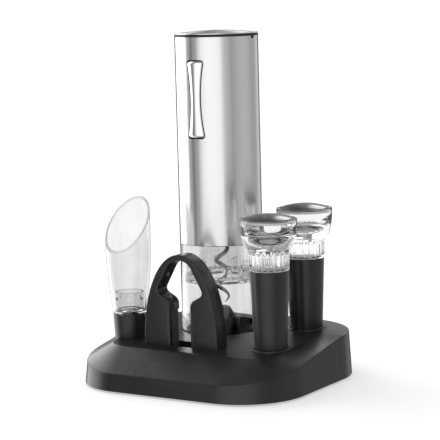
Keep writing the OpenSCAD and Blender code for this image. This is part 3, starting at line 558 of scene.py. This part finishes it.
def build_rocker():
    """The rocker's face is round from side to side: each cross-section is an arc that turns 42 degrees from
    its middle to its edges, so the wide ends stand out further than the waist; both ends roll over. Behind it
    are the stem, the boss round the pin and the two pegs that press the switches."""
    rows, cols = 240, 72
    half, roll, drop, soft = ROCKER_LEN / 2, 2.4, 1.7, 0.45
    z = half * np.sin(np.linspace(-np.pi / 2, np.pi / 2, rows))[:, None]
    t = np.sin(np.linspace(-np.pi / 2, np.pi / 2, cols))[None, :]
    w = rocker_half_width(z, half)
    x = t * w
    z = np.broadcast_to(z, x.shape)
    arc_r = w / math.sin(math.radians(42))
    edge = np.clip((w - np.abs(x)) / soft, 0, 1)
    rolled = np.clip((np.abs(z) - half + roll) / roll, 0, 1)
    proud = np.sqrt(arc_r**2 - x**2) - np.sqrt(arc_r**2 - w**2) + 0.35 * np.sqrt(1 - (1 - edge) ** 2)
    proud = proud - drop * (1 - np.sqrt(1 - rolled**2))
    y_face = -(np.sqrt(TUBE_R**2 - w**2) - 0.25 + proud)
    back = np.broadcast_to(-(TUBE_R - 1.9), x.shape)
    points = np.concatenate([np.stack([x, y_face, z], -1), np.stack([x, back, z], -1)[:, ::-1]], 1)
    points = points.reshape(-1, 3) + [OPENER[0], OPENER[1], ROCKER_Z]
    made = piece("rocker", points, grid_faces(rows, 2 * cols), end_faces(rows, 2 * cols))
    made_of(made, "chrome", "rocker", "rocker_button")
    pin_y, plate_y, stem_w = TUBE_R - 4.5, TUBE_R - 1.4, 2.9
    block = rounded([(-stem_w, -3, 0.4), (stem_w, -3, 0.4), (stem_w, 3, 0.4), (-stem_w, 3, 0.4)], closed=True)
    made_of(prism("rocker_stem", block, pin_y + 1.2, plate_y, facing_front), "chrome", "rocker")

    def across(x, y, z, a):
        """Lays the turned ring over, so that its axis is the rocker's pin."""
        return z, x - pin_y, y + ROCKER_Z

    section = [(1.06, -stem_w), (1.8, -stem_w), (1.8, stem_w), (1.06, stem_w)]
    made_of(turned("rocker_boss", section, OPENER, around=48, loop=True, shift=across), "chrome", "rocker")
    for end, side in (("low", -1), ("high", 1)):
        peg = circle(1.4, 36) + [0, side * 15.5]
        made_of(prism("rocker_peg_" + end, peg, TUBE_R - 3.05, plate_y, facing_front), "chrome", "rocker")


def dome(r, edge_r, rise, top):
    """Profile of a shallow dome: heights of a ball that is top at the axis and rise lower at edge_r."""
    ball = (edge_r**2 + rise**2) / (2 * rise)
    return np.column_stack([r, top - ball + np.sqrt(ball**2 - r**2)])


def build_cap():
    """Shallow steel dome with a rolled edge over the black ring."""
    low, high = span("cap_dome")
    edge_r = (high - low)[0] / 2
    r = edge_r * np.sin(np.linspace(0, np.pi / 2, 40)) ** 1.3
    crown = dome(r, edge_r, high[2] - low[2] - 0.4, high[2])[r < edge_r - 0.6]
    rim = rounded([tuple(crown[-1]) + (0,), (edge_r, low[2] + 0.75, 0.5), (edge_r, low[2], 0.15),
                   (0, low[2], 0)])
    made_of(turned("cap_disc", np.concatenate([crown[:-1], rim]), OPENER, around=192), "brushed_steel", "cap",
            "cap_dome")


def build_sleeve():
    """Clear sleeve: a heavy rounded foot, a plain wall and a thinner spigot that goes up into the steel."""
    r, spigot, inner, foot_in = TUBE_R - 0.05, TUBE_R - 0.62, TUBE_R - 2.2, TUBE_R - 2.55
    low, step = SLEEVE_BOTTOM, TUBE_BOTTOM - 0.05
    section = rounded([(r, low, 0.7), (r, step, 0.3), (spigot, step, 0.1), (spigot, SLEEVE_TOP, 0.4),
                       (inner, SLEEVE_TOP, 0.4), (inner, low + 3.0, 1.0), (foot_in, low + 1.6, 0.8),
                       (foot_in, low, 0.4)], closed=True, steps=6)
    made_of(turned("clear_window", section, OPENER, around=192, loop=True), "clear_acrylic", "opener",
            "clear_sleeve")


def build_worm():
    """Wire swept down a right-handed spiral: the centre line's distance from the axis and its height follow the
    distance s along the axis, and each ring of the wire stands square to the line there. The wire narrows to a
    point."""
    hub = span("worm_hub")[0][2]
    wire, pitch, length, wind, start, point = 1.3, 15.0, 52.0, 3.7, 128, 9
    s = np.linspace(-5, length - 0.02, 620)
    below = np.clip(s, 0, None)
    a = np.radians(start - 360 * below / pitch)
    share = np.clip((below - 2) / (pitch / 2), 0, 1)
    out = wind * share**2 * (3 - 2 * share) * 0.5 + wind * share * 0.5
    line = np.column_stack([out * np.cos(a), out * np.sin(a), -s])
    along = np.gradient(line, axis=0)
    along /= np.linalg.norm(along, axis=1, keepdims=True)
    side = np.cross(np.column_stack([np.cos(a), np.sin(a), 0 * a]), along)
    side /= np.linalg.norm(side, axis=1, keepdims=True)
    up = np.cross(along, side)
    radius = wire * np.clip(np.sqrt((length - below) / point), 0.04, 1)
    cos, sin = circle(1, 28).T
    ring = (line[:, None] + radius[:, None, None] * (side[:, None] * cos[None, :, None]
                                                    + up[:, None] * sin[None, :, None]))
    points = ring.reshape(-1, 3) + [OPENER[0], OPENER[1], hub]
    made_of(piece("worm", points, grid_faces(len(s), len(cos)), end_faces(len(s), len(cos))),
            "dark_steel", "spindle", "corkscrew")


# ---------------------------------------------------------------- foil cutter


def cutter_outline():
    """The cutter from the front: half an ellipse outside; inside, a slot, round shoulders, an eye with leaning
    sides and a round crown. Feet corners are rounded."""
    half_w, height, spring, gap = 26.1, 59.6, 7.0, 7.4
    lean, eye_w, eye_z, corner_r, shoulder_r, crown = math.radians(29), 15.9, 37.2, 3.0, 5.5, 3.5

    def arc(cx, cz, r, start, end, n):
        """Points of a circle's arc between two angles in degrees."""
        t = np.radians(np.linspace(start, end, n))
        return np.column_stack([cx + r * np.cos(t), cz + r * np.sin(t)])

    normal = np.array([math.cos(lean), math.sin(lean)])
    centre = np.array([eye_w - corner_r, eye_z])
    side = (centre + corner_r * normal) @ normal
    eye_top = height - crown
    crown_r = (side - eye_top * normal[1]) / (1 - normal[1])
    right = np.concatenate([
        rounded([(half_w, spring, 0), (half_w, 0, 0.8), (gap, 0, 0.8), (gap, 10, 0)]),
        arc(gap + shoulder_r, eye_z - 9.7, shoulder_r, 180, 120, 14),
        arc(*centre, corner_r, -60, 29, 14),
        arc(0, eye_top - crown_r, crown_r, 29, 90, 26)])
    t = np.linspace(0, np.pi, 160)[1:-1]
    outer = np.column_stack([half_w * np.cos(t), spring + (height - spring) * np.sin(t)])
    left = right[:-1][::-1] * [-1, 1]
    return spread(np.concatenate([right, left, outer[::-1], right[:1]]), 3.0)[:-1]


def build_cutter():
    """The outline in depth: rings step in along its normals round both edges, then flat faces close it."""
    line = cutter_outline()
    along = np.roll(line, -1, 0) - np.roll(line, 1, 0)
    along /= np.linalg.norm(along, axis=1, keepdims=True)
    inward = np.column_stack([-along[:, 1], along[:, 0]])
    area = np.sum(line[:, 0] * np.roll(line[:, 1], -1) - np.roll(line[:, 0], -1) * line[:, 1]) / 2
    inward *= np.sign(area)
    low, high = span("cutter_body")
    deep, soft, wheel_r, wheel_w, relief_in = (high - low)[1] / 2, 0.75, 2.7, 0.65, 7.3
    t = np.radians(np.linspace(0, 90, 6))
    steps = [(soft * (1 - np.sin(a)), -deep + soft * (1 - np.cos(a))) for a in t]
    steps += [(inset, -y) for inset, y in steps[::-1]]
    rings = [np.column_stack([line[:, 0] + inward[:, 0] * inset + CUTTER[0], np.full(len(line), y + CUTTER[1]),
                              line[:, 1] + inward[:, 1] * inset + low[2]]) for inset, y in steps]
    n = len(line)
    body = piece("cutter_arch", np.concatenate(rings), grid_faces(len(rings), n), end_faces(len(rings), n),
                 sharp=50)
    slots = []
    for k in range(1, 5):
        at = sum(span(f"cutter_wheel_{k}")) / 2
        slots.append(prism("wheel slot", circle(wheel_r, 48), -wheel_w, wheel_w,
                           lambda p, at=at: at + p[:, [0, 2, 1]]))
    front, back = 2.6 - deep, deep + 1
    for side in (-1, 1):
        relief = [(CUTTER[0] + side * u, CUTTER[1] + v) for u, v in
                  ((relief_in, front), (RELIEF_X, front), (RELIEF_X, back), (relief_in, back))]
        slots.append(prism("relief", relief, low[2] - 1, low[2] + RELIEF_H))
    made_of(carved(body, slots, sharp=50), "satin_black", "cutter", "cutter_body")


# ---------------------------------------------------------------- pourer


def build_pourer():
    """Clear spout: the wall flares out over 45 mm, and its upper edge is cut by a slanting plane; the rows of
    the grid run from the collar up to that plane, out and back in, so the lip keeps its thickness all round."""
    foot, collar = (corner[2] for corner in span("pourer_plug"))
    tip = span("pourer_spout")[1][2]
    narrow, wide, wall, lip, floor = 10.4, 14.2, 1.3, foot + 65.0, collar + 1.6
    slant = (foot + 97.8 - lip) / (2 * wide)

    def outer(z):
        """The outside's radius: it opens quickly above the collar, and is straight 45 mm further up."""
        f = np.clip((z - collar) / 45, 0, 1)
        return narrow + (wide - narrow) * (1.5 * f - 0.5 * f**3)

    around, rows, drop = 160, 70, 0.35
    a = np.linspace(0, 2 * np.pi, around, endpoint=False)[None, :]
    v = np.linspace(0, 1, rows)[:, None]
    edge_out = lip + slant * wide * (1 + np.sin(a))
    edge_in = lip + slant * (wide + (wide - wall) * np.sin(a))
    z_out = collar + v * (edge_out - collar)
    z_in = floor + v * (edge_in - floor)
    r_out, r_in = outer(z_out), outer(z_in) - wall
    turn = np.linspace(0, np.pi, 7)[1:-1, None]
    edge_mid = (edge_out + edge_in) / 2
    flat = np.sign(np.cos(turn)) * np.abs(np.cos(turn)) ** 0.3
    round_r = wide - wall / 2 + flat * wall / 2
    round_z = edge_mid + flat * (edge_out - edge_in) / 2 + np.sin(turn) ** 0.5 * 0.15
    round_z = np.minimum(round_z, tip)
    z_out[-1:] -= drop
    z_in[-1] = np.minimum(z_in[-1], edge_in[0] - drop)
    stem = np.array([[5.6, floor], [5.6, foot + 4], [7.0, foot + 4], [7.0, collar]])
    r = np.concatenate([r_out, np.broadcast_to(round_r, round_z.shape), r_in[::-1],
                        np.repeat(stem[:, :1], around, 1)])
    z = np.concatenate([z_out, round_z - drop, z_in[::-1], np.repeat(stem[:, 1:], around, 1)])
    x, y = r * np.cos(a), r * np.sin(a)
    points = np.stack([x + POURER[0], y + POURER[1], z], -1).reshape(-1, 3)
    made_of(piece("pourer_spout_clear", points, grid_faces(len(r), around, close_rows=True), sharp=50),
            "clear_acrylic", "pourer", "pourer_spout",
            finish=clear("clear acrylic of the spout", edge=(POURER[1], lip + slant * wide, slant)))
    sleeve = rounded([(STEM_R, foot, 0.3), (POURER_FOOT_R, foot, 0.8), (10.6, collar, 0.5),
                      (STEM_R, collar, 0.2)], closed=True)
    made_of(turned("pourer_collar", sleeve, POURER, loop=True), "rubber", "pourer", "pourer_plug")


# ---------------------------------------------------------------- stoppers


def build_stopper(side):
    """A clear knob whose neck carries twenty flutes, a dark lens-shaped cap in its bowl with a pale seat under
    it, a pale insert at the foot of the neck, and a tapered plug below."""
    centre, body = STOPPERS[side], side + "_stopper"
    foot, shoulder = (corner[2] for corner in span(body + "_plug"))
    rim = span(body + "_knob")[1][2]
    neck_r, knob_r, neck_top, cap_r = 12.2, 17.2, shoulder + 12.0, 15.9
    bowl_h = rim - neck_top
    t = np.linspace(0, np.pi / 2, 26)
    bowl = np.column_stack([neck_r - 0.3 + (knob_r - neck_r + 0.3) * np.sin(t),
                            rim - 3 - (bowl_h - 3.6) * np.cos(t)])
    inner = np.column_stack([(cap_r - 0.8) * np.cos(t), rim - 2.4 - (bowl_h - 7) * np.sin(t)])
    outside = np.concatenate([
        spread(rounded([(0, foot + 6, 0), (7, foot + 6, 0.5), (7, shoulder + 0.02, 0),
                        (11.6, shoulder + 0.02, 0.3), (neck_r - 0.1, shoulder + 0.9, 0.3),
                        (neck_r + 0.1, neck_top - 0.6, 0.4), (neck_r - 0.5, neck_top + 0.4, 0)]), 0.8),
        bowl[1:-1]])
    lip = rounded([(knob_r, rim - 3, 0), (knob_r, rim, 0.6), (cap_r, rim, 0.35), (cap_r, rim - 2.4, 0.2),
                   (cap_r - 0.8, rim - 2.4, 0)], steps=6)
    profile = np.concatenate([outside, lip, inner[1:]])

    def fluted(x, y, z, a):
        """Twenty hollows round the neck, fading out at both of its ends."""
        r = np.hypot(x, y)
        fade = np.clip((z - shoulder - 0.9) / 0.8, 0, 1) * np.clip((neck_top - 1.0 - z) / 0.8, 0, 1)
        hollow = 0.95 * np.abs(np.cos(10 * a)) ** 1.6 * fade * (r > 11)
        scale = np.where(r > 0.1, (r - hollow) / np.maximum(r, 0.1), 1)
        return x * scale, y * scale, z

    made_of(turned(side + "_knob_clear", profile, centre, around=400, shift=fluted, sharp=50), "clear_acrylic",
            body, body + "_knob", finish=THICK_CLEAR)
    low, high = (corner[2] for corner in span(body + "_cap"))
    r_edge, rise = cap_r - 0.5, 2.6
    r = r_edge * np.sin(np.linspace(0, np.pi / 2, 36))
    lens = dome(r, r_edge, rise, high)[r < r_edge - 0.5]
    disc = rounded([tuple(lens[-1]) + (0,), (r_edge, high - rise + 0.1, 0.5), (r_edge, low + 1.32, 0),
                    (0, low + 1.32, 0)])
    made_of(turned(side + "_knob_lens", np.concatenate([lens[:-1], disc]), centre, around=160), "graphite",
            body, body + "_cap")
    for name, r, top, bottom, soft in (("_knob_seat", r_edge, low + 1.3, low + 0.02, 0.1),
                                       ("_neck_insert", 8.6, shoulder + 1.1, shoulder + 0.4, 0.2)):
        pale = rounded([(0, top, 0), (r, top, soft), (r, bottom, 0.2), (0, bottom, 0)])
        made_of(turned(side + name, pale, centre, around=160), "gear_nylon", body)
    plug = rounded([(0, foot, 0), (STOPPER_FOOT_R, foot, 1.2), (11.8, shoulder, 0.55), (STEM_R, shoulder, 0.2),
                    (STEM_R, foot + 5.9, 0), (0, foot + 5.9, 0)], steps=6)
    made_of(turned(side + "_bung", plug, centre), "rubber", body, body + "_plug")


# ---------------------------------------------------------------- stage

VIEW_TURN, VIEW_DROP, VIEW_ROLL = math.radians(31.91), math.radians(7.453), math.radians(1.469)
VIEW_FROM = (580.8, -927.2, 241.8)
LENS, SENSOR = 147.42, 36
PANELS = (  # (bearing, brightness) at every change of the wall of light
    (-180, 0.3), (-170, 0.3), (-166, 0.08), (-153, 0.08), (-149, 3.0), (-102, 3.0), (-92, 0.48), (-81, 0.48),
    (-79, 0.2), (-73, 0.2), (-71, 0.48), (-60, 0.48), (-57, 0.8), (-46, 1.3), (-30, 1.5), (-12, 1.5),
    (7, 1.4), (17, 0.85), (24, 0.68), (34, 0.6), (38, 0.46), (52, 0.56), (70, 0.66), (88, 0.65),
    (112, 0.48), (124, 0.5), (130, 0.6), (143, 0.85), (150, 0.85), (153, 0.15), (166, 0.15), (171, 0.5))
LOW_LIGHT, HIGH_LIGHT, CEILING_LIGHT = 0.8, 0.42, 1.2
FLOOR_HALF = 150.0  # metres


def build_camera():
    """The camera looks along forward, which is turned to the left and drops; roll turns its side axis."""
    turn, drop, roll = VIEW_TURN, VIEW_DROP, VIEW_ROLL
    forward = np.array([-math.sin(turn) * math.cos(drop), math.cos(turn) * math.cos(drop), -math.sin(drop)])
    right = np.array([math.cos(turn), math.sin(turn), 0])
    up = np.cross(right, forward)
    x = right * math.cos(roll) - up * math.sin(roll)
    y = up * math.cos(roll) + right * math.sin(roll)
    data = bpy.data.cameras.new("camera")
    data.lens, data.sensor_width, data.clip_start, data.clip_end = LENS, SENSOR, 0.01, 500
    camera = bpy.data.objects.new("camera", data)
    matrix = Matrix([[*row] for row in np.column_stack([x, y, -forward])]).to_4x4()
    matrix.translation = Vector(VIEW_FROM) * MM
    camera.matrix_world = matrix
    bpy.context.scene.collection.objects.link(camera)
    bpy.context.scene.camera = camera


def build_studio():
    """Soft studio all round: tall panels and dark flags at set bearings, an even light below them, a dimmer one
    above, a bright ceiling, and two soft boxes high up behind the set, which glance off its upper faces. What
    the camera sees behind the set is plain white. Bearings are in degrees from the line that runs towards the
    camera, and grow to the camera's right."""
    world = bpy.data.worlds.new("studio")
    bpy.context.scene.world = world
    world.use_nodes = True
    tree = world.node_tree

    def past(degrees):
        """The bearing in radians, less the given one."""
        turn = worked(tree, "MULTIPLY", share, 2 * math.pi)
        return worked(tree, "SUBTRACT", turn, math.radians(degrees + 180))

    def between(low, high, value):
        """0 up to low degrees, 1 from high degrees, and a soft step between them."""
        return put(tree, "ShaderNodeMapRange", {0: value, 1: math.radians(low), 2: math.radians(high)},
                   interpolation_type="SMOOTHSTEP").outputs[0]

    def blend(factor, first, second):
        """first where the factor is 0, second where it is 1."""
        return put(tree, "ShaderNodeMix", {0: factor, 2: first, 3: second}, data_type="FLOAT").outputs[0]

    def softbox(under, left, right, low, high, value):
        """under, with a box of light between the bearings left and right and the elevations low and high."""
        across = worked(tree, "SUBTRACT", between(-2, 2, past(left)), between(-2, 2, past(right)))
        tall = worked(tree, "SUBTRACT", between(low - 2, low + 2, height), between(high - 3, high + 3, height))
        return blend(worked(tree, "MULTIPLY", across, tall), under, value)

    place = put(tree, "ShaderNodeTexCoord").outputs["Generated"]
    x, y, z = put(tree, "ShaderNodeSeparateXYZ", {0: place}).outputs
    away = VIEW_TURN - math.pi / 2 - math.pi
    bearing = worked(tree, "SUBTRACT", worked(tree, "ARCTAN2", y, x), away)
    share = worked(tree, "FRACT", worked(tree, "DIVIDE", bearing, 2 * math.pi))
    height = worked(tree, "ARCSINE", z)
    panels = put(tree, "ShaderNodeValToRGB", {0: share})
    ramp = panels.color_ramp
    while len(ramp.elements) < len(PANELS):
        ramp.elements.new(0.5)
    for element, (degrees, value) in zip(ramp.elements, PANELS):
        element.position = (degrees + 180) / 360
        element.color = (value, value, value, 1)

    lower = blend(between(-45, -22, height), LOW_LIGHT, panels.outputs[0])
    upper = blend(between(35, 62, height), lower, HIGH_LIGHT)
    boxes = softbox(softbox(upper, -170, -150, 11, 38, 4.0), 157, 174, 20, 36, 4.2)
    light = put(tree, "ShaderNodeBackground", {1: blend(between(78, 86, height), boxes, CEILING_LIGHT)})
    plain = put(tree, "ShaderNodeBackground", {1: 1.0})
    seen = put(tree, "ShaderNodeMixShader", {0: put(tree, "ShaderNodeLightPath").outputs["Is Camera Ray"],
                                             1: light.outputs[0], 2: plain.outputs[0]})
    tree.links.new(seen.outputs[0], tree.nodes["World Output"].inputs[0])

    floor_mesh = bpy.data.meshes.new("floor")
    corners = [(u * FLOOR_HALF, v * FLOOR_HALF, 0) for u, v in ((-1, -1), (1, -1), (1, 1), (-1, 1))]
    floor_mesh.from_pydata(corners, [], [(0, 1, 2, 3)])
    floor = bpy.data.objects.new("floor", floor_mesh)
    bpy.context.scene.collection.objects.link(floor)
    white = Finish("floor white", Roughness=0.9, Base_Color=(0.9, 0.9, 0.9, 1), Emission_Color=(1, 1, 1, 1),
                   Emission_Strength=0.45, Specular_IOR_Level=0.0)
    floor_mesh.materials.append(white.material)
    floor.visible_glossy = False
    settings = bpy.context.scene.view_settings
    settings.view_transform, settings.look = "Standard", "None"


build_camera()
build_studio()
build_stand()
build_tube()
build_rocker()
build_cap()
build_sleeve()
build_worm()
build_cutter()
build_pourer()
for stopper_side in STOPPERS:
    build_stopper(stopper_side)
